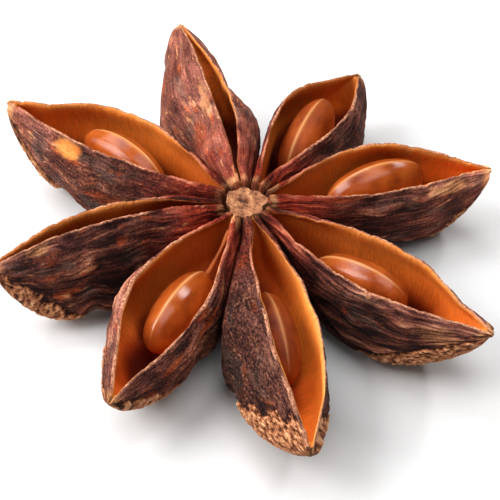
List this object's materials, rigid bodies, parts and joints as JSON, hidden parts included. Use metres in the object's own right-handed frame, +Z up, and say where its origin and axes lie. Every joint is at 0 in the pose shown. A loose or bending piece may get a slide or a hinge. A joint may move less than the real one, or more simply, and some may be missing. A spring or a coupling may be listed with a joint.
{
  "type": "star anise pod",
  "caption": "Dried star anise pod: open boat-shaped carpels radiating from a woody core, with glossy flattened seeds lying in most of them.",
  "frame": {"origin": "middle of the pod's footprint, on the surface that it rests on", "axes": "+Z up out of the open side; +Y along the longer way across, towards the narrow carpel at the back; +X to the right as seen from -Y"},
  "size_m": [0.034, 0.038, 0.0082],
  "materials": {
    "husk": "matt wrinkled dark brown outside, smooth satin orange-brown inside",
    "seed": "polished amber brown with a fine pale ridge",
    "core": "rough fibrous tan"
  },
  "bodies": {
    "root": {"carpel_1": "husk", "carpel_2": "husk", "carpel_3": "husk", "carpel_4": "husk", "carpel_5": "husk", "carpel_6": "husk", "carpel_7": "husk", "carpel_8": "husk", "columella": "core", "seed_1": "seed", "seed_3": "seed", "seed_4": "seed", "seed_5": "seed", "seed_6": "seed", "seed_7": "seed"}
  },
  "joints": []
}
